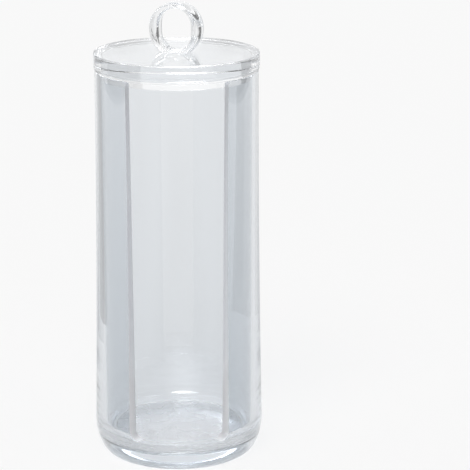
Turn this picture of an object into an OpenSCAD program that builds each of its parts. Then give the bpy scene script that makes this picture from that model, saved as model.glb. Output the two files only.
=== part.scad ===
// Tall round storage jar for cotton pads, moulded in clear plastic.
// A wide front slot lets the pads be taken out one by one, and a loose plug lid
// with a ring knob closes the top.
// Origin: centre of the face that the jar stands on, slot towards -Y, +Z up.

/* [Container] */
// Outer diameter at the rim
rim_d = 69.1; // [60:0.1:90]
// Outer diameter at its widest, just above the round bottom edge
base_d = 72.7; // [70:0.1:95]
// Height of the rim above the surface that the jar stands on
rim_h = 167.6; // [110:0.1:220]
// Height over which the bottom edge is rounded
edge_h = 15; // [6:0.5:25]
// How far the rounded bottom edge turns in, on the radius
edge_in = 6.7; // [2:0.1:12]
// Wall thickness at the rim
rim_wall = 2.5; // [1.5:0.1:4]
// How much narrower the inside is at the floor than at the rim, on the radius
inner_draft = 0.3; // [0.1:0.1:1]
// Height of the inside floor
floor_h = 11.4; // [7:0.1:20]
// Radius of the round corner between the inside floor and the wall
floor_corner_r = 4.5; // [1:0.5:10]
// Radius of the softened edges at the top of the rim
rim_edge_r = 0.4; // [0.1:0.1:0.7]

/* [Hollow underside] */
// Thickness of the floor between the inside and the hollow underside
floor_t = 2.9; // [1.5:0.1:6]
// Width of the narrow ring that the jar stands on, on the radius
foot_ring_w = 0.95; // [0.7:0.05:4]
// Lean of the hollow's side, which narrows it upwards, in degrees
hollow_draft = 0.5; // [0:0.1:3]
// Radius of the round corner between the hollow's side and its ceiling
hollow_corner_r = 1.5; // [0.5:0.1:3]
// Radius of the softened inner edge of the ring that the jar stands on
foot_edge_r = 0.3; // [0.1:0.1:0.6]

/* [Front slot] */
// Width of the slot across its outer edges at the rim
slot_w = 42.3; // [20:0.1:50]
// Height of the slot's bottom above the inside floor
sill_h = 1.6; // [0.2:0.1:10]
// Lean of the slot's sides, which brings them together downwards, in degrees
slot_draft = 0.5; // [0:0.1:1]
// Radius of the slot's lower corners
slot_corner_r = 4; // [1:0.5:8]
// Radius of the rounded corners where the slot's sides meet the rim
mouth_corner_r = 1.8; // [0.5:0.1:4]

/* [Lid] */
// Outer diameter of the lid
lid_d = 70; // [60:0.1:92]
// Thickness of the lid's flange, from its top face down to the rim that it sits on
lid_h = 7.7; // [4:0.1:12]
// Height of the lower part of the flange's side, which curves in
lid_skirt_h = 2.1; // [0.5:0.1:3.5]
// How far that lower part curves in, on the radius
lid_skirt_in = 0.8; // [0.1:0.1:1.5]
// Radius of the lid's upper edge
lid_edge_r = 0.5; // [0.1:0.1:0.9]
// Depth that the plug reaches into the jar
plug_h = 3; // [1:0.1:8]
// Radial clearance between the plug and the inside of the jar
plug_gap = 0.4; // [0.1:0.05:1]
// Radius of the plug's lower edge
plug_edge_r = 0.5; // [0.1:0.1:0.9]
// How far the loose lid happens to be turned from the slot, in degrees
lid_turn = -15; // [-90:1:90]

/* [Knob] */
// Outer diameter of the ring knob
knob_d = 22.9; // [20:0.1:30]
// Height of the ring's centre above the lid's top face
knob_centre_h = 9.6; // [8:0.1:10]
// Depth of the ring from front to back
knob_t = 8.5; // [5:0.1:14]
// Width of the finger hole
hole_w = 13.6; // [8:0.1:14]
// Height of the finger hole
hole_h = 17.6; // [14.2:0.1:18]
// Radius of the ring's rounded edges
knob_edge_r = 1.3; // [0.3:0.1:2]

/* [Hidden] */
$fn = 128;

// Straight steps in the wall's flare, in a quarter of an oval and in a round corner
flare_steps = 16;
oval_steps = 16;
arc_steps = 12;
// Margin by which a cutter runs past what it cuts
past = 1;

rim_r = rim_d / 2;
base_r = base_d / 2;
inner_r = rim_r - rim_wall;
cavity_h = rim_h - floor_h;
foot_r = base_r - edge_in;
hollow_r = foot_r - foot_ring_w;
hollow_h = floor_h - floor_t;
slot_bottom = floor_h + sill_h;
slot_angle = asin(slot_w / 2 / rim_r);
lid_r = lid_d / 2;
lid_top = rim_h + lid_h;
plug_r = inner_r - plug_gap;
knob_r = knob_d / 2;
// The ring's edges are never rounder than its thin top allows
ring_edge_r = min(knob_edge_r, 0.49 * (knob_r - hole_h / 2));

// Points of a round corner about a centre, from one angle to another
function arc(centre, r, from, to) =
    [for (i = [0 : arc_steps]) let (t = from + (to - from) * i / arc_steps) centre + r * [cos(t), sin(t)]];

// Points of a quarter of an oval, from its lowest point out to its widest
function lower_quarter(x, z, rx, rz) =
    [for (i = [0 : oval_steps]) let (t = 90 * i / oval_steps) [x + rx * sin(t), z - rz * cos(t)]];

// Points of the outer wall above the round bottom edge: the flare dies out at the rim
function flare() =
    [for (i = [1 : flare_steps]) let (s = i / flare_steps)
        [rim_r + (base_r - rim_r) * pow(1 - s, 2), edge_h + (rim_h - rim_edge_r - edge_h) * s]];

// What comes off the upper corner at [x, z] of a section to round it
module edge_trim(x, z, r) {
    translate([x - r, z - r]) difference() {
        square(r + past);
        circle(r);
    }
}

// Section of an open-topped pocket whose side stands at x = 0 at the top and leans in
// downwards. Its lower corner is round, and so is the edge of what is left beside its top.
module pocket(depth, lean, low_r, high_r, reach) {
    corner_share = (1 - sin(lean)) / cos(lean);
    low = [-depth * tan(lean) - low_r * corner_share, low_r];
    high = [high_r * corner_share, depth - high_r];
    polygon(concat([[-reach, 0]], arc(low, low_r, -90, -lean), arc(high, high_r, 180 - lean, 90),
        [[high.x, depth + past], [-reach, depth + past]]));
}

// Half section of the container, before the slot is cut
module container_section() {
    difference() {
        polygon(concat([[0, 0]], lower_quarter(foot_r, edge_h, edge_in, edge_h), flare(),
            [[rim_r, rim_h], [0, rim_h]]));
        translate([inner_r, floor_h]) pocket(cavity_h, atan(inner_draft / cavity_h), floor_corner_r, rim_edge_r, inner_r);
        translate([hollow_r, hollow_h]) mirror([0, 1])
            pocket(hollow_h, hollow_draft, hollow_corner_r, foot_edge_r, hollow_r);
        edge_trim(rim_r, rim_h, rim_edge_r);
    }
}

// Everything to the left of the slot's right side, from the sill up
module slot_side() {
    reach = base_r + past;
    translate([0, 0, slot_bottom]) rotate([90, 0, slot_angle]) linear_extrude(2 * reach, center = true)
        pocket(rim_h - slot_bottom, slot_draft, slot_corner_r, mouth_corner_r, 2 * reach);
}

// Jar in one moulding: flared wall, raised floor over a hollow underside and rounded
// bottom edge, with a slot whose sides point at the jar's axis
module container() {
    color([0.84, 0.87, 0.9, 0.45]) difference() {
        rotate_extrude() container_section();
        intersection() {
            slot_side();
            mirror([1, 0, 0]) slot_side();
        }
    }
}

// Half section of the lid without its knob, measured up from the rim
module lid_section() {
    difference() {
        polygon(concat([[0, 0]], lower_quarter(lid_r - lid_skirt_in, lid_skirt_h, lid_skirt_in, lid_skirt_h),
            [[lid_r, lid_h], [0, lid_h]]));
        edge_trim(lid_r, lid_h, lid_edge_r);
    }
    mirror([0, 1]) difference() {
        square([plug_r, plug_h]);
        edge_trim(plug_r, plug_h, plug_edge_r);
    }
}

// Half section of the ring's outer form, with its middle plane at z = 0
module ring_section() {
    for (side = [0, 1]) mirror([0, side]) difference() {
        square([knob_r, knob_t / 2]);
        edge_trim(knob_r, knob_t / 2, ring_edge_r);
    }
}

// Half section of the finger hole, which widens to both faces with a rounded edge
module hole_section() {
    flat = knob_t / 2 - ring_edge_r;
    difference() {
        translate([0, -knob_t / 2 - past]) square([hole_w / 2 + ring_edge_r, knob_t + 2 * past]);
        translate([hole_w / 2, -flat]) square([ring_edge_r + past, 2 * flat]);
        for (side = [-1, 1]) translate([hole_w / 2 + ring_edge_r, side * flat]) circle(ring_edge_r);
    }
}

// Finger hole with half-round ends, along Y through the origin
module finger_hole() {
    straight = hole_h - hole_w;
    for (side = [-1, 1]) translate([0, 0, side * straight / 2]) rotate([90, 0, 0]) rotate_extrude() hole_section();
    linear_extrude(straight, center = true) {
        hole_section();
        mirror([1, 0]) hole_section();
    }
}

// Ring that stands on the lid's top face, with its lowest part sunk into the flange
module knob() {
    translate([0, 0, lid_h + knob_centre_h]) difference() {
        rotate([90, 0, 0]) rotate_extrude() ring_section();
        finger_hole();
    }
}

// Plug lid and its ring knob in one moulding: it rests on the rim and can be turned
module lid() {
    color([0.9, 0.92, 0.94, 0.45]) translate([0, 0, rim_h]) rotate([0, 0, lid_turn]) {
        rotate_extrude() lid_section();
        knob();
    }
}

container();
lid();
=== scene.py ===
"""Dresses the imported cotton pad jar: clear moulded plastic, a pale studio floor and the photo's view."""

import logging
import math
from dataclasses import dataclass
from enum import Enum
from typing import Any, Callable

import bmesh
import bpy
from mathutils import Euler, Matrix


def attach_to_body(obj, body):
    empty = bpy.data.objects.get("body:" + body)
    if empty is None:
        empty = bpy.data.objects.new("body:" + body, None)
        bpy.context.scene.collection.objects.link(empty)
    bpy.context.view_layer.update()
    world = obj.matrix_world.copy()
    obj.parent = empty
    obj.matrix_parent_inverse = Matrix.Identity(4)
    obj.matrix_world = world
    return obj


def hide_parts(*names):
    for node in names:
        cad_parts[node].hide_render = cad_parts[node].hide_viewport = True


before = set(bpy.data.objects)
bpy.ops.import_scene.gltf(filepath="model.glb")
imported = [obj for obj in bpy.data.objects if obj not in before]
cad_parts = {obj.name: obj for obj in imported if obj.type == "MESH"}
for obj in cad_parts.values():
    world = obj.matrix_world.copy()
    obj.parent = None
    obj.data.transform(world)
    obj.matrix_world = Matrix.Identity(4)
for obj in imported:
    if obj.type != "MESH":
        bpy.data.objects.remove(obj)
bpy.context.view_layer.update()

LOG = logging.getLogger("jar")
MM = 0.001
BODY = "root"
FRAME_PX = 470
# A mesh row this far beside a rounded edge keeps the flat next to it flat in its shading
HAIR = 0.15
# The jar's two flat discs have a row of the mesh at these shares of their radius
DISC_ROWS = (0.75, 0.5, 0.25)

Colour = tuple[float, float, float, float]
Place = tuple[float, float, float]
Pair = tuple[float, float]
MeshEdit = bmesh.types.BMesh
Vert = bmesh.types.BMVert

WHITE: Colour = (1.0, 1.0, 1.0, 1.0)


class Skin(Enum):
    """The two faces of the jar's wall."""

    OUTER = "outer"
    INNER = "inner"


class Face(Enum):
    """Material slots of the jar's mesh."""

    POLISHED = 0
    SLOT_EDGE = 1
    UNDERSIDE = 2


class Ray(Enum):
    """Kinds of ray that Light Path tells apart."""

    CAMERA = "Is Camera Ray"
    GLOSSY = "Is Glossy Ray"
    THROUGH = "Is Transmission Ray"
    DIFFUSE = "Is Diffuse Ray"
    SHADOW = "Is Shadow Ray"


def srgb(code: str) -> Colour:
    """Turns an sRGB hex colour to linear RGBA.

    Args:
        code: Six hex digits, such as "E8ECEE".

    Returns:
        The colour as linear red, green, blue and an alpha of 1.
    """
    parts = [int(code[i : i + 2], 16) / 255 for i in (0, 2, 4)]
    linear = [c / 12.92 if c <= 0.04045 else ((c + 0.055) / 1.055) ** 2.4 for c in parts]
    return (*linear, 1.0)


def add_node(
    tree: bpy.types.NodeTree,
    kind: str,
    settings: dict[str, Any] | None = None,
    inputs: dict[str | int, Any] | None = None,
) -> bpy.types.Node:
    """Adds a node to a tree with its settings and links.

    Args:
        tree: The shader or geometry tree.
        kind: Blender's type name of the node.
        settings: Properties of the node, by name.
        inputs: What goes into its inputs, by name or index: a socket is linked, anything else is a value.

    Returns:
        The new node.
    """
    node = tree.nodes.new(kind)
    for name, value in (settings or {}).items():
        setattr(node, name, value)
    for name, value in (inputs or {}).items():
        if isinstance(value, bpy.types.NodeSocket):
            tree.links.new(value, node.inputs[name])
        else:
            node.inputs[name].default_value = value
    return node


def new_tree(owner: bpy.types.Material | bpy.types.World) -> bpy.types.NodeTree:
    """Turns a material's or world's nodes on and empties them.

    Args:
        owner: The material or world.

    Returns:
        Its empty node tree.
    """
    owner.use_nodes = True
    owner.node_tree.nodes.clear()
    return owner.node_tree


def new_object(name: str, mesh: bpy.types.Mesh) -> bpy.types.Object:
    """Puts a mesh into the scene at the origin.

    Args:
        name: Name of the object.
        mesh: Its mesh.

    Returns:
        The new object.
    """
    piece = bpy.data.objects.new(name, mesh)
    bpy.context.scene.collection.objects.link(piece)
    return piece


def write_outward(bm: MeshEdit, mesh: bpy.types.Mesh) -> None:
    """Turns all faces of an edit outward, writes them into a mesh and ends the edit.

    Args:
        bm: The edit, which holds closed surfaces.
        mesh: The mesh that takes them.
    """
    bmesh.ops.recalc_face_normals(bm, faces=bm.faces)
    bm.to_mesh(mesh)
    bm.free()


def baked(piece: bpy.types.Object, name: str) -> bpy.types.Mesh:
    """Takes a piece out of the scene and keeps the mesh that its modifiers make.

    Args:
        piece: The object with its modifiers.
        name: Name of the new mesh.

    Returns:
        The new mesh, with no modifiers left to run.
    """
    graph = bpy.context.evaluated_depsgraph_get()
    mesh = bpy.data.meshes.new_from_object(piece.evaluated_get(graph), depsgraph=graph)
    mesh.name = name
    bpy.data.objects.remove(piece)
    return mesh


def arc(centre: Pair, half: Pair, start: float, end: float, steps: int) -> list[Pair]:
    """Points on an oval, from one angle to another.

    Args:
        centre: Distance of the oval's centre from the axis, and its height.
        half: Its half-axes, across and up.
        start: First angle in degrees, counted from outwards towards up.
        end: Last angle in degrees.
        steps: Number of straight steps.

    Returns:
        The points, first and last included.
    """
    angles = [math.radians(start + (end - start) * i / steps) for i in range(steps + 1)]
    return [(centre[0] + half[0] * math.cos(a), centre[1] + half[1] * math.sin(a)) for a in angles]


def turns_down(rise: float, steps: int) -> list[float]:
    """Angles in even steps down a quarter circle of radius 1, to its lowest point.

    Args:
        rise: Height above the lowest point where the steps begin. That place itself is left out.
        steps: Number of steps.

    Returns:
        The angles in radians, counted from the lowest point. The last is 0.
    """
    first = math.degrees(math.acos(1 - rise))
    return [math.radians(first * (1 - i / steps)) for i in range(1, steps + 1)]


def pocket_side(v: float, depth: float, lean: float, low_r: float, high_r: float) -> float:
    """How far a pocket's side stands out at height v, where 0 is the side's place at the top.

    Args:
        v: Height above the pocket's bottom.
        depth: Depth of the pocket.
        lean: Lean of the side in radians, which narrows the pocket downwards.
        low_r: Radius of its lower corner.
        high_r: Radius that rounds the edge beside its mouth.

    Returns:
        The side's offset, negative towards the pocket's middle.
    """
    share = (1 - math.sin(lean)) / math.cos(lean)
    if v < low_r * (1 - math.sin(lean)):
        return -depth * math.tan(lean) - low_r * share + math.sqrt(max(0.0, low_r**2 - (low_r - v) ** 2))
    if high_r and v > depth - high_r * (1 - math.sin(lean)):
        return high_r * share - math.sqrt(max(0.0, high_r**2 - (v - depth + high_r) ** 2))
    return -(depth - v) * math.tan(lean)


@dataclass(frozen=True)
class ClearMoulding:
    """Injection-moulded clear polystyrene from a polished mould, faintly blue-grey.

    Attributes:
        name: Name of the material.
        tint: Colour that light keeps through the wall, near the rim.
        painted_shade_tint: The same near the base, painted darker there: painted shade in place of the jar's
            own shadow on the floor behind it, seen through the wall.
        roughness: Micro-roughness of the mould's polish.
        cloud: How much the tint wavers along the flow of the plastic. At 0 the colour is even.
        ripple_mm: Depth of the faint upright flow waves. At 0 there are none.
        haze: Share of the light that a matt face scatters back.
        shade: Colour of the light that passes on to the floor.
        ior: Index of refraction of polystyrene.
        most_bounces: Bounces after which a ray passes straight on.
        painted_shade_mm: Heights between which the painted shade near the base fades into the tint near the
            rim.
        cloud_mm: Width of a streak in the tint.
        wear: Roughness where the polish is best and where it is most worn, as shares of roughness.
        wear_mm: Width of a worn patch.
        wave_mm: Width of a flow wave.
        stretch: How many times longer than wide streaks, patches and waves are.
    """

    name: str
    tint: str
    # Painted shade: the colour near the base is darker, in place of the jar's shadow seen through the wall
    painted_shade_tint: str
    roughness: float = 0.02
    cloud: float = 0.05
    ripple_mm: float = 0.002
    haze: float = 0.0
    shade: str = "E4E6E9"
    ior: float = 1.59
    most_bounces: float = 12.0
    painted_shade_mm: Pair = (12.0, 165.0)
    cloud_mm: float = 14.0
    wear: Pair = (0.6, 1.6)
    wear_mm: float = 9.0
    wave_mm: float = 7.0
    stretch: float = 12.0

    def flow(
        self, tree: bpy.types.NodeTree, place: bpy.types.NodeSocket, across: float
    ) -> bpy.types.NodeSocket:
        """Upright streaks of noise, as the melt leaves them on its way up the wall.

        Args:
            tree: The material's nodes.
            place: Object coordinates in metres.
            across: Width of a streak in millimetres.

        Returns:
            The noise's factor, from 0 to 1.
        """
        per_metre = 1 / (across * MM)
        scale = (per_metre, per_metre, per_metre / self.stretch)
        spot = add_node(tree, "ShaderNodeVectorMath", {"operation": "MULTIPLY"}, {0: place, 1: scale})
        grain = {"Vector": spot.outputs[0], "Scale": 1.0, "Detail": 1.0}
        return add_node(tree, "ShaderNodeTexNoise", None, grain).outputs[0]

    def streaked_tint_and_painted_shade(self, tree: bpy.types.NodeTree, place: bpy.types.NodeSocket) -> bpy.types.NodeSocket:
        """The tint: darker towards the base by painted shade that stands in for the jar's shadow seen through
        the wall, and wavering a little in streaks.

        Args:
            tree: The material's nodes.
            place: Object coordinates in metres.

        Returns:
            The colour.
        """
        height = add_node(tree, "ShaderNodeSeparateXYZ", None, {0: place})
        # Painted shade: the colour turns from the darker one at the base to the tint near the rim
        low, high = self.painted_shade_mm
        up = {"Value": height.outputs["Z"], "From Min": low * MM, "From Max": high * MM}
        share = add_node(tree, "ShaderNodeMapRange", None, up)
        # Inputs 6 and 7 and output 2 of a mix node are its colours
        colours = {0: share.outputs[0], 6: srgb(self.painted_shade_tint), 7: srgb(self.tint)}
        body = add_node(tree, "ShaderNodeMix", {"data_type": "RGBA"}, colours)
        streak = self.flow(tree, place, self.cloud_mm)
        limits = {"Value": streak, "To Min": 1 - self.cloud, "To Max": 1 + self.cloud}
        waver = add_node(tree, "ShaderNodeMapRange", None, limits)
        shades = {0: body.outputs[2], "Scale": waver.outputs[0]}
        return add_node(tree, "ShaderNodeVectorMath", {"operation": "SCALE"}, shades).outputs[0]

    def material(self) -> bpy.types.Material:
        """Makes the material: glassy plastic that lets lamps through to the floor.

        Returns:
            The new material.
        """
        material = bpy.data.materials.new(self.name)
        tree = new_tree(material)
        place = add_node(tree, "ShaderNodeTexCoord").outputs["Object"]
        # Handling has dulled the polish a little in patches
        best, worst = self.wear
        patch = self.flow(tree, place, self.wear_mm)
        limits = {"Value": patch, "To Min": self.roughness * best, "To Max": self.roughness * worst}
        dull = add_node(tree, "ShaderNodeMapRange", None, limits)
        look: dict[str | int, Any] = {
            "Base Color": self.streaked_tint_and_painted_shade(tree, place) if self.cloud else srgb(self.tint),
            "Roughness": dull.outputs[0],
            "IOR": self.ior,
            "Transmission Weight": 1 - self.haze,
        }
        if self.ripple_mm:
            # The flow waves bend what is seen through the wall a little
            height = self.flow(tree, place, self.wave_mm)
            wave = {"Strength": 1.0, "Distance": self.ripple_mm * MM, "Height": height}
            look["Normal"] = add_node(tree, "ShaderNodeBump", None, wave).outputs[0]
        shader = add_node(tree, "ShaderNodeBsdfPrincipled", None, look)
        # Lamp rays pass, and so do rays that have bounced inside for so long that they would turn black
        path = add_node(tree, "ShaderNodeLightPath")
        depth = {0: path.outputs["Ray Depth"], 1: self.most_bounces}
        deep = add_node(tree, "ShaderNodeMath", {"operation": "GREATER_THAN"}, depth)
        either = {0: path.outputs[Ray.SHADOW.value], 1: deep.outputs[0]}
        passes = add_node(tree, "ShaderNodeMath", {"operation": "MAXIMUM"}, either)
        clear = add_node(tree, "ShaderNodeBsdfTransparent", None, {"Color": srgb(self.shade)})
        parts = {0: passes.outputs[0], 1: shader.outputs[0], 2: clear.outputs[0]}
        mix = add_node(tree, "ShaderNodeMixShader", None, parts)
        add_node(tree, "ShaderNodeOutputMaterial", None, {"Surface": mix.outputs[0]})
        return material


# Its second colour is painted shade: darker towards the base, in place of the jar's shadow seen through the
# wall
POLISHED_WALL = ClearMoulding("clear_polystyrene_polished_moulding", "E9ECEF", "DBDFE3")
# The mould's parting faces leave the slot's sides less polished than the walls
MATT_SLOT_EDGE = ClearMoulding(
    "clear_polystyrene_slot_edge_matt", "F8F8FA", "F8F8FA", roughness=0.3, cloud=0.0, ripple_mm=0.0, haze=0.35
)
# The hollow's ceiling is textured in the mould, so that it hides what the jar stands on
TEXTURED_UNDERSIDE = ClearMoulding(
    "satin_polystyrene_textured_underside", "F8F8FA", "F8F8FA", roughness=0.25, cloud=0.0, ripple_mm=0.0
)
POLISHED_LID = ClearMoulding("clear_polystyrene_lid_polished_moulding", "F8F9FA", "F8F9FA", ripple_mm=0.001)


@dataclass
class JarShell:
    """The jar itself: flared wall, raised floor, rounded bottom edge, hollow underside and front slot.

    Sizes are in millimetres and angles in degrees. Columns, rows and segments count parts of the mesh.
    """

    rim_d: float = 69.08
    base_d: float = 72.6
    rim_h: float = 167.6
    edge_h: float = 15.0
    edge_in: float = 6.7
    rim_wall: float = 2.5
    inner_draft: float = 0.3
    floor_h: float = 11.4
    floor_corner_r: float = 4.5
    soft_edge: float = 0.4
    hollow_h: float = 8.5
    hollow_r: float = 28.7
    hollow_corner_r: float = 1.5
    foot_edge_r: float = 0.3
    slot_w: float = 42.3
    sill_h: float = 1.6
    slot_draft: float = 0.5
    slot_corner_r: float = 4.0
    mouth_corner_r: float = 1.8
    # Angles on the slot's lower corners and on the rounded corners at its mouth where a row lies
    corner_turns: range = range(0, 84, 7)
    mouth_turns: range = range(6, 91, 7)
    rise_rows: int = 44
    floor_corner_rows: int = 8
    bottom_edge_rows: int = 18
    foot_edge_rows: int = 4
    hollow_corner_rows: int = 10
    back_columns: int = 240
    front_columns: int = 56
    soft_edge_segments: int = 4
    # Edges that bend by less than this stay as they are
    soft_edge_from: float = 35.0

    @property
    def sill(self) -> float:
        """Height of the slot's bottom."""
        return self.floor_h + self.sill_h

    def outer_radius(self, z: float) -> float:
        """Outer radius of the wall.

        Args:
            z: Height above the table.

        Returns:
            The radius there.
        """
        rim_r, base_r = self.rim_d / 2, self.base_d / 2
        if z < self.edge_h:
            return base_r - self.edge_in + self.edge_in * math.sqrt(1 - (1 - z / self.edge_h) ** 2)
        up = min(1.0, (z - self.edge_h) / (self.rim_h - self.soft_edge - self.edge_h))
        return rim_r + (base_r - rim_r) * (1 - up) ** 2

    def inner_radius(self, z: float) -> float:
        """Inner radius of the wall.

        Args:
            z: Height above the table.

        Returns:
            The radius there.
        """
        depth = self.rim_h - self.floor_h
        lean = math.atan(self.inner_draft / depth)
        side = pocket_side(z - self.floor_h, depth, lean, self.floor_corner_r, 0)
        return self.rim_d / 2 - self.rim_wall + side

    def half_gap(self, z: float, radius: float) -> float:
        """Angle between the slot's middle and its side.

        Args:
            z: Height above the table.
            radius: Distance from the jar's axis.

        Returns:
            The angle in radians.
        """
        lean, depth = math.radians(self.slot_draft), self.rim_h - self.sill
        side = pocket_side(z - self.sill, depth, lean, self.slot_corner_r, self.mouth_corner_r)
        return math.asin(self.slot_w / self.rim_d) + math.asin(side / radius)

    def slot_heights(self) -> list[float]:
        """Heights of the mesh's rows beside the slot, close together at its round corners.

        Returns:
            The heights from the sill to the rim.
        """
        low, high = self.slot_corner_r, self.mouth_corner_r
        corner = [self.sill + low * (1 - math.cos(math.radians(t))) for t in self.corner_turns]
        mouth = [self.rim_h - high + high * math.sin(math.radians(t)) for t in self.mouth_turns]
        rise = mouth[0] - corner[-1]
        between = [corner[-1] + rise * i / self.rise_rows for i in range(1, self.rise_rows)]
        return corner + between + mouth

    def underside(self) -> list[Pair]:
        """Outline of the outer skin below the sill: round bottom edge, foot ring and hollow.

        Returns:
            The radius and height of each row, up to the edge of the hollow's flat ceiling.
        """
        foot, e = self.base_d / 2 - self.edge_in, self.foot_edge_r
        r, top = self.hollow_corner_r, self.hollow_h
        turns = turns_down(self.sill / self.edge_h, self.bottom_edge_rows)
        points = [(foot + self.edge_in * math.sin(t), self.edge_h * (1 - math.cos(t))) for t in turns]
        points += [(foot - HAIR, 0.0)]
        points += arc((self.hollow_r + e, e), (e, e), -90, -180, self.foot_edge_rows)
        points += [(self.hollow_r, e + HAIR), (self.hollow_r, top - r - HAIR)]
        return points + arc((self.hollow_r - r, top - r), (r, r), 0, 90, self.hollow_corner_rows)

    def levels_below(self, skin: Skin) -> list[tuple[float, float, Face]]:
        """Rows that carry one skin on from the sill's level to the axis.

        Args:
            skin: Which skin.

        Returns:
            The radius and height of each row, and the finish of the faces that lead to it.
        """
        if skin is Skin.INNER:
            turns = turns_down(self.sill_h / self.floor_corner_r, self.floor_corner_rows)
            heights = [self.floor_h + self.floor_corner_r * (1 - math.cos(t)) for t in turns]
            rows = [(self.inner_radius(z), z, Face.POLISHED) for z in heights]
            finish = Face.POLISHED
        else:
            rows = [(radius, z, Face.POLISHED) for radius, z in self.underside()]
            finish = Face.UNDERSIDE
        flat_r, flat_z, _ = rows[-1]
        radii = [flat_r - HAIR, *(flat_r * share for share in DISC_ROWS)]
        return rows + [(radius, flat_z, finish) for radius in radii]

    def close_below(self, bm: MeshEdit, skin: Skin, ring: list[Vert], angles: list[float]) -> None:
        """Carries one skin on from the sill's level to a closed flat face on the axis.

        Args:
            bm: The mesh that is being built.
            skin: Which skin.
            ring: Its closed ring of points at the sill's level.
            angles: The angle of each of those points.
        """
        above, count = ring, len(ring)
        for radius, z, finish in self.levels_below(skin):
            below = [self.put(bm, angle, radius, z) for angle in angles]
            for i in range(count):
                k = (i + 1) % count
                bm.faces.new((above[i], above[k], below[k], below[i])).material_index = finish.value
            above = below
        centre = bm.verts.new((0, 0, above[0].co.z))
        for i in range(count):
            bm.faces.new((above[i], above[(i + 1) % count], centre)).material_index = finish.value

    @staticmethod
    def put(bm: MeshEdit, angle: float, radius: float, z: float) -> Vert:
        """Adds a point at an angle from the front, a radius and a height."""
        return bm.verts.new((radius * math.sin(angle) * MM, -radius * math.cos(angle) * MM, z * MM))

    def back_angles(self, gap: float) -> list[float]:
        """Angles of the wall's columns from one side of the slot round the back to the other."""
        n = self.back_columns
        return [gap + (2 * math.pi - 2 * gap) * i / n for i in range(n + 1)]

    def skin_sheet(self, bm: MeshEdit, skin: Skin) -> tuple[list[list[Vert]], list[Vert]]:
        """Makes one skin of the wall with the floor or foot below it.

        Args:
            bm: The mesh that is being built.
            skin: Which skin.

        Returns:
            Its rows of points from the sill to the rim, and the points below the slot from left to right.
        """
        radius_at: Callable[[float], float] = self.outer_radius if skin is Skin.OUTER else self.inner_radius
        rows = []
        for z in self.slot_heights():
            radius = radius_at(z)
            angles = self.back_angles(self.half_gap(z, radius))
            rows.append([self.put(bm, angle, radius, z) for angle in angles])
        radius = radius_at(self.sill)
        gap = self.half_gap(self.sill, radius)
        front_angles = [-gap + 2 * gap * j / self.front_columns for j in range(1, self.front_columns)]
        front = [self.put(bm, angle, radius, self.sill) for angle in front_angles]
        self.close_below(bm, skin, rows[0] + front, self.back_angles(gap) + front_angles)
        for low, high in zip(rows, rows[1:]):
            for a, b, c, d in zip(low, low[1:], high[1:], high):
                bm.faces.new((a, b, c, d))
        return rows, [rows[0][-1], *front, rows[0][0]]

    def build(self) -> bpy.types.Object:
        """Makes the jar's mesh as one closed surface with softened edges.

        Returns:
            The jar, without its finishes.
        """
        bm = bmesh.new()
        outer, outer_sill = self.skin_sheet(bm, Skin.OUTER)
        inner, inner_sill = self.skin_sheet(bm, Skin.INNER)
        # The slot's two sides join the skins, and so do the rim and the sill
        for column in (0, self.back_columns):
            for r in range(len(outer) - 1):
                corners = (outer[r][column], outer[r + 1][column], inner[r + 1][column], inner[r][column])
                bm.faces.new(corners).material_index = Face.SLOT_EDGE.value
        for out, back in ((outer[-1], inner[-1]), (outer_sill, inner_sill)):
            for a, b, c, d in zip(out, out[1:], back[1:], back):
                bm.faces.new((a, b, c, d))
        mesh = bpy.data.meshes.new("jar_shell")
        write_outward(bm, mesh)
        mesh.polygons.foreach_set("use_smooth", [True] * len(mesh.polygons))
        jar = new_object("jar_shell", mesh)
        bevel = jar.modifiers.new("soft_edges", "BEVEL")
        bevel.width = self.soft_edge * MM
        bevel.segments = self.soft_edge_segments
        bevel.limit_method = "ANGLE"
        bevel.angle_limit = math.radians(self.soft_edge_from)
        bevel.harden_normals = True
        return jar

    def dress(self, jar: bpy.types.Object) -> None:
        """Gives the jar its three finishes, in the order of the Face slots."""
        for finish in (POLISHED_WALL, MATT_SLOT_EDGE, TEXTURED_UNDERSIDE):
            jar.data.materials.append(finish.material())


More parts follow.
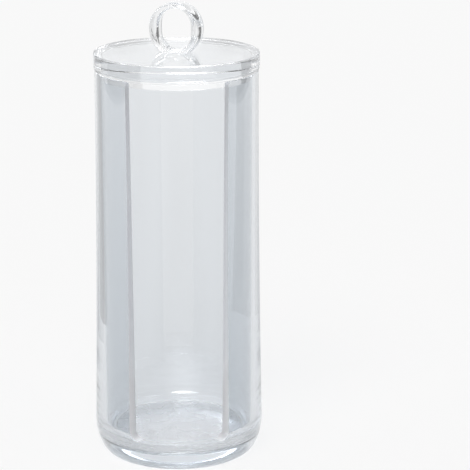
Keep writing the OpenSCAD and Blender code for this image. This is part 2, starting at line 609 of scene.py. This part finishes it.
@dataclass
class Lathe:
    """Geometry Nodes that turn a half section about the upright axis.

    Attributes:
        steps: Straight steps in a full turn.
        material: Material of the turned piece.
        seam: Distance within which points are joined, in the section's unit.
    """

    steps: int
    material: bpy.types.Material
    seam: float = 0.001

    def tree(self) -> bpy.types.GeometryNodeTree:
        """Makes the node group: a grid whose columns are copies of the section, each turned a step further.

        Returns:
            The group. Its inputs are the section, its number of points, the steps, the seam and the finish.
        """
        group = bpy.data.node_groups.new("lathe", "GeometryNodeTree")
        sockets = {
            "Geometry": "Geometry",
            "Steps": "Int",
            "Points": "Int",
            "Seam": "Float",
            "Finish": "Material",
        }
        for label, kind in sockets.items():
            group.interface.new_socket(label, in_out="INPUT", socket_type="NodeSocket" + kind)
        group.interface.new_socket("Geometry", in_out="OUTPUT", socket_type="NodeSocketGeometry")
        into = add_node(group, "NodeGroupInput")
        # The last column lies on the first, so there is one more than there are steps
        columns = add_node(group, "ShaderNodeMath", {"operation": "ADD"}, {0: into.outputs["Steps"], 1: 1})
        size = {"Vertices X": columns.outputs[0], "Vertices Y": into.outputs["Points"]}
        grid = add_node(group, "GeometryNodeMeshGrid", None, size)
        # The grid counts its points column by column
        index = add_node(group, "GeometryNodeInputIndex")
        counted = {0: index.outputs[0], 1: into.outputs["Points"]}
        row = add_node(group, "ShaderNodeMath", {"operation": "MODULO"}, counted)
        ratio = add_node(group, "ShaderNodeMath", {"operation": "DIVIDE"}, counted)
        column = add_node(group, "ShaderNodeMath", {"operation": "FLOOR"}, {0: ratio.outputs[0]})
        done = {0: column.outputs[0], 1: into.outputs["Steps"]}
        share = add_node(group, "ShaderNodeMath", {"operation": "DIVIDE"}, done)
        whole = {0: share.outputs[0], 1: math.tau}
        angle = add_node(group, "ShaderNodeMath", {"operation": "MULTIPLY"}, whole)
        # Each point takes the section's point of its row, turned about the axis by its column's angle
        place = add_node(group, "GeometryNodeInputPosition")
        asked = {"Geometry": into.outputs["Geometry"], "Value": place.outputs[0], "Index": row.outputs[0]}
        point = add_node(group, "GeometryNodeSampleIndex", {"data_type": "FLOAT_VECTOR"}, asked)
        about = {"Vector": point.outputs[0], "Angle": angle.outputs[0]}
        turned = add_node(group, "ShaderNodeVectorRotate", {"rotation_type": "Z_AXIS"}, about)
        target = {"Geometry": grid.outputs["Mesh"], "Position": turned.outputs[0]}
        moved = add_node(group, "GeometryNodeSetPosition", None, target)
        touching = {"Geometry": moved.outputs[0], "Distance": into.outputs["Seam"]}
        closed = add_node(group, "GeometryNodeMergeByDistance", None, touching)
        real = add_node(group, "GeometryNodeRealizeInstances", None, {"Geometry": closed.outputs[0]})
        finish = {"Geometry": real.outputs[0], "Material": into.outputs["Finish"]}
        dressed = add_node(group, "GeometryNodeSetMaterial", None, finish)
        add_node(group, "NodeGroupOutput", None, {0: dressed.outputs[0]})
        return group

    def turned(self, name: str, section: list[Pair]) -> bpy.types.Mesh:
        """Turns a half section into a closed mesh.

        Args:
            name: Name of the mesh.
            section: Points from the axis below to the axis above, as radius and height.

        Returns:
            The closed mesh, with its normals outward.
        """
        host = bpy.data.meshes.new(name)
        edges = [(i, i + 1) for i in range(len(section) - 1)]
        host.from_pydata([(radius, 0, z) for radius, z in section], edges, [])
        piece = new_object(name, host)
        lathe = piece.modifiers.new("lathe", "NODES")
        lathe.node_group = self.tree()
        values = {"Steps": self.steps, "Points": len(section), "Seam": self.seam, "Finish": self.material}
        for socket in lathe.node_group.interface.items_tree:
            if socket.name in values:
                lathe[socket.identifier] = values[socket.name]
        mesh = baked(piece, name)
        bm = bmesh.new()
        bm.from_mesh(mesh)
        write_outward(bm, mesh)
        return mesh


@dataclass
class PlugLid:
    """The loose lid: flange, plug and ring knob.

    Sizes are in millimetres and angles in degrees. Steps count parts of the mesh.
    """

    rim_h: float = 167.6
    lid_d: float = 69.95
    lid_h: float = 7.7
    skirt_h: float = 2.1
    skirt_in: float = 0.8
    edge_r: float = 0.5
    plug_h: float = 3.0
    plug_r: float = 31.65
    plug_edge_r: float = 0.5
    seat_gap: float = 0.03
    turn: float = -15.0
    knob_r: float = 11.43
    knob_centre_h: float = 9.6
    knob_t: float = 8.5
    hole_w: float = 13.6
    hole_h: float = 17.6
    # Powers of the ring's oval section outside and towards the hole: 2 is an ellipse, and more is squarer
    outer_round: float = 2.8
    tunnel_round: float = 3.6
    lid_steps: int = 256
    plug_edge_steps: int = 6
    skirt_steps: int = 12
    edge_steps: int = 8
    ring_steps: int = 288
    section_steps: int = 64
    # Shares of their radius at which the plug's and the lid's flat faces have one more row
    plug_row: float = 0.5
    top_row: float = 0.8
    # Edges that bend by more than this stay sharp in the shading
    sharp_from: float = 40.0

    def section(self) -> list[Pair]:
        """Half section of flange and plug.

        Returns:
            Its points from the axis below to the axis above, as radius and height.
        """
        lid_r, e, p, seat = self.lid_d / 2, self.edge_r, self.plug_edge_r, self.seat_gap
        skirt = (self.skirt_in, self.skirt_h - seat)
        points = [(0.0, -self.plug_h), (self.plug_r * self.plug_row, -self.plug_h)]
        points += [(self.plug_r - p - HAIR, -self.plug_h)]
        points += arc((self.plug_r - p, p - self.plug_h), (p, p), -90, 0, self.plug_edge_steps)
        points += [(self.plug_r, p - self.plug_h + HAIR), (self.plug_r, -HAIR), (self.plug_r, seat)]
        points += [(self.plug_r + HAIR, seat), (lid_r - self.skirt_in - HAIR, seat)]
        points += arc((lid_r - self.skirt_in, self.skirt_h), skirt, -90, 0, self.skirt_steps)
        points += [(lid_r, self.skirt_h + HAIR), (lid_r, self.lid_h - e - HAIR)]
        points += arc((lid_r - e, self.lid_h - e), (e, e), 0, 90, self.edge_steps)
        points += [(lid_r - e - HAIR, self.lid_h), (lid_r * self.top_row, self.lid_h)]
        return points + [(0.0, self.lid_h)]

    def outline(self, phi: float) -> Pair:
        """The ring's outline in one direction from its centre.

        Args:
            phi: Angle from straight up, in radians.

        Returns:
            Distances of the finger hole's edge and of the ring's outside.
        """
        across, up = abs(math.sin(phi)), math.cos(phi)
        half_w, straight = self.hole_w / 2, (self.hole_h - self.hole_w) / 2
        if half_w * abs(up) <= straight * across:
            return half_w / across, self.knob_r
        return straight * abs(up) + math.sqrt(half_w**2 - (straight * across) ** 2), self.knob_r

    def ring_section(self, inner: float, outer: float) -> list[Pair]:
        """Oval section of the ring.

        Args:
            inner: Distance of the finger hole's edge from the ring's centre.
            outer: Distance of the ring's outside from it.

        Returns:
            The section's points, as distance from the ring's centre and place along the hole.
        """
        points = []
        for j in range(self.section_steps):
            a = math.tau * j / self.section_steps
            power = 2 / (self.outer_round if math.cos(a) > 0 else self.tunnel_round)
            out = math.copysign(abs(math.cos(a)) ** power, math.cos(a))
            deep = math.copysign(abs(math.sin(a)) ** power, math.sin(a))
            points.append(((inner + outer) / 2 + (outer - inner) / 2 * out, self.knob_t / 2 * deep))
        return points

    def ring(self, finish: bpy.types.Material) -> bpy.types.Object:
        """Makes the ring knob where it stands on the lid, but not yet turned.

        Args:
            finish: Its material.

        Returns:
            The ring, as a closed mesh that is sunk a little into the flange.
        """
        bm = bmesh.new()
        rows = []
        centre_z = self.lid_h + self.knob_centre_h
        for i in range(self.ring_steps):
            phi = math.tau * i / self.ring_steps
            across, up = math.sin(phi), math.cos(phi)
            section = self.ring_section(*self.outline(phi))
            rows.append([bm.verts.new((rho * across, y, centre_z + rho * up)) for rho, y in section])
        for row, after in zip(rows, rows[1:] + rows[:1]):
            for a, b, c, d in zip(row, after, after[1:] + after[:1], row[1:] + row[:1]):
                bm.faces.new((a, b, c, d))
        mesh = bpy.data.meshes.new("knob_ring")
        write_outward(bm, mesh)
        mesh.materials.append(finish)
        return new_object("knob_ring", mesh)

    def build(self) -> bpy.types.Object:
        """Makes the lid as one closed mesh: the ring is joined to the turned disc.

        Returns:
            The lid, dressed and in its place on the jar.
        """
        finish = POLISHED_LID.material()
        disc = new_object("lid_disc", Lathe(self.lid_steps, finish).turned("lid_disc", self.section()))
        ring = self.ring(finish)
        joint = disc.modifiers.new("join", "BOOLEAN")
        joint.operation = "UNION"
        joint.solver = "EXACT"
        joint.object = ring
        mesh = baked(disc, "lid_moulding")
        bpy.data.objects.remove(ring)
        turn = Matrix.Rotation(math.radians(self.turn), 4, "Z") @ Matrix.Translation((0, 0, self.rim_h))
        mesh.transform(Matrix.Scale(MM, 4) @ turn)
        mesh.set_sharp_from_angle(angle=math.radians(self.sharp_from))
        mesh.polygons.foreach_set("use_smooth", [True] * len(mesh.polygons))
        return new_object("lid_moulding", mesh)


@dataclass(frozen=True)
class GreyCard:
    """A grey card beside the set: clear things show their edges by what they mirror and bend.

    Attributes:
        name: Name of the card.
        centre: Where its middle is, in metres.
        size: Its width and height in metres.
        turn: How far it is turned about the upright axis, in degrees: at 0 it faces the camera.
        level: How bright it is, where white is 1.
    """

    name: str
    centre: Place
    size: Pair
    turn: float
    level: float

    def build(self) -> None:
        """Stands the card in the set, where only mirrored and bent rays meet it."""
        half_w, half_h = self.size[0] / 2, self.size[1] / 2
        corners = [(-half_w, 0, -half_h), (half_w, 0, -half_h), (half_w, 0, half_h), (-half_w, 0, half_h)]
        mesh = bpy.data.meshes.new(self.name)
        mesh.from_pydata(corners, [], [(0, 1, 2, 3)])
        material = bpy.data.materials.new(self.name + "_board")
        tree = new_tree(material)
        tone = (self.level, self.level, self.level, 1)
        glow = add_node(tree, "ShaderNodeEmission", None, {"Color": tone})
        add_node(tree, "ShaderNodeOutputMaterial", None, {"Surface": glow.outputs[0]})
        mesh.materials.append(material)
        card = new_object(self.name, mesh)
        card.location = self.centre
        card.rotation_euler = (0, 0, math.radians(self.turn))
        card.visible_camera = card.visible_diffuse = card.visible_shadow = False


@dataclass
class PhotoCamera:
    """The camera where the photo was taken from. Lengths in millimetres, angles in degrees."""

    focal_px: float = 2175.7
    sensor: float = 36.0
    distance: float = 900.0
    height: float = 341.7
    pitch: float = 15.31
    swing: float = 1.56
    reach_m: float = 20.0

    def place(self) -> None:
        """Adds the camera and makes it the scene's."""
        data = bpy.data.cameras.new("camera")
        data.sensor_width = self.sensor
        data.lens = self.focal_px * self.sensor / FRAME_PX
        data.clip_end = self.reach_m
        eye = bpy.data.objects.new("camera", data)
        eye.location = (0, -self.distance * MM, self.height * MM)
        eye.rotation_euler = Euler((math.radians(90 - self.pitch), 0, -math.radians(self.swing)))
        bpy.context.scene.collection.objects.link(eye)
        bpy.context.scene.camera = eye


@dataclass
class Studio:
    """Pale paper floor, one broad soft lamp and a white room with a few grey cards.

    Attributes:
        paper: How much light the paper throws back, where white is 1.
        paper_glow: Share of plain white in what is seen of the paper, also in and through the plastic.
        floor_drop: How far the paper lies below the jar, in millimetres.
        floor_size_m: Width of the paper in metres.
        fill: Strength of the room as fill light, where the room itself looks white at 1.
        lamp_energy: Strength of the lamp.
        lamp_angle: How broad the lamp is, in degrees.
        lamp_turn: How the lamp is turned about X, Y and Z, in degrees.
        most_bounces: Bounces of a ray in all.
        inside_bounces: Bounces of a ray inside the plastic.
        cards: The near cards stand behind the jar. The far ones hang higher, so that the lid and its
            knob show them and the walls don't.
    """

    paper: float = 0.85
    paper_glow: float = 0.7
    floor_drop: float = 0.05
    floor_size_m: float = 30.0
    fill: float = 0.4
    lamp_energy: float = 2.2
    lamp_angle: float = 36.0
    lamp_turn: Place = (38.0, 0.0, -14.0)
    most_bounces: int = 24
    inside_bounces: int = 20
    cards: tuple[GreyCard, ...] = (
        GreyCard("near_left_card", (-0.135, 0.120, 0.20), (0.085, 0.40), 48, 0.60),
        GreyCard("near_right_card", (0.085, 0.160, 0.20), (0.085, 0.40), -28, 0.82),
        GreyCard("far_left_card", (-0.35, -0.10, 0.32), (0.70, 0.46), 90, 0.20),
        GreyCard("far_right_card", (0.35, -0.10, 0.32), (0.60, 0.46), 90, 0.20),
    )

    def render_paths(self) -> None:
        """Lets light bounce inside the clear plastic for long enough that no edge turns black."""
        scene = bpy.context.scene
        scene.view_settings.view_transform = "Standard"
        scene.cycles.max_bounces = self.most_bounces
        scene.cycles.glossy_bounces = self.inside_bounces
        scene.cycles.transmission_bounces = self.inside_bounces
        scene.cycles.transparent_max_bounces = self.most_bounces

    def floor(self) -> None:
        """Adds the paper: it keeps the jar's shadow, and is near white to the eye and through the plastic."""
        bpy.ops.mesh.primitive_plane_add(size=self.floor_size_m, location=(0, 0, -self.floor_drop * MM))
        floor = bpy.context.object
        floor.name = "floor"
        material = bpy.data.materials.new("white_background_paper")
        tree = new_tree(material)
        path = add_node(tree, "ShaderNodeLightPath")
        seen = path.outputs[Ray.CAMERA.value]
        for ray in (Ray.GLOSSY, Ray.THROUGH):
            kinds = {0: seen, 1: path.outputs[ray.value]}
            seen = add_node(tree, "ShaderNodeMath", {"operation": "MAXIMUM"}, kinds).outputs[0]
        share = add_node(tree, "ShaderNodeMath", {"operation": "MULTIPLY"}, {0: seen, 1: self.paper_glow})
        tone = (self.paper, self.paper, self.paper, 1)
        paper = add_node(tree, "ShaderNodeBsdfDiffuse", None, {"Color": tone})
        glow = add_node(tree, "ShaderNodeEmission", None, {"Color": WHITE, "Strength": 1.0})
        parts = {0: share.outputs[0], 1: paper.outputs[0], 2: glow.outputs[0]}
        mix = add_node(tree, "ShaderNodeMixShader", None, parts)
        add_node(tree, "ShaderNodeOutputMaterial", None, {"Surface": mix.outputs[0]})
        floor.data.materials.append(material)

    def room(self) -> None:
        """Makes the world: white to the eye and in the plastic, and dimmer as fill light."""
        world = bpy.data.worlds.new("studio_room")
        bpy.context.scene.world = world
        tree = new_tree(world)
        path = add_node(tree, "ShaderNodeLightPath")
        dimmed = {0: path.outputs[Ray.DIFFUSE.value], 1: self.fill - 1, 2: 1.0}
        strength = add_node(tree, "ShaderNodeMath", {"operation": "MULTIPLY_ADD"}, dimmed)
        white = {"Color": WHITE, "Strength": strength.outputs[0]}
        light = add_node(tree, "ShaderNodeBackground", None, white)
        add_node(tree, "ShaderNodeOutputWorld", None, {"Surface": light.outputs[0]})

    def lamp(self) -> None:
        """Adds the broad soft lamp above and behind the camera's left shoulder."""
        light = bpy.data.lights.new("softbox", "SUN")
        light.angle = math.radians(self.lamp_angle)
        light.energy = self.lamp_energy
        lamp = bpy.data.objects.new("softbox", light)
        lamp.rotation_euler = [math.radians(a) for a in self.lamp_turn]
        bpy.context.scene.collection.objects.link(lamp)

    def build(self) -> None:
        """Sets the whole studio up."""
        self.render_paths()
        self.floor()
        self.room()
        self.lamp()
        for card in self.cards:
            card.build()


def attach(piece: bpy.types.Object, node: str) -> None:
    """Lets a piece stand in for its CAD node.

    Args:
        piece: The dressed piece.
        node: The CAD node.
    """
    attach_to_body(piece, BODY)
    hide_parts(node)
    LOG.info("%s stands in for %s with %d faces", piece.name, node, len(piece.data.polygons))


def main() -> None:
    """Builds and dresses every piece in order."""
    logging.basicConfig(level=logging.INFO, format="%(name)s: %(message)s")
    PhotoCamera().place()
    Studio().build()
    shell = JarShell()
    jar = shell.build()
    shell.dress(jar)
    attach(jar, "container")
    attach(PlugLid().build(), "lid")


if __name__ == "__main__":
    main()
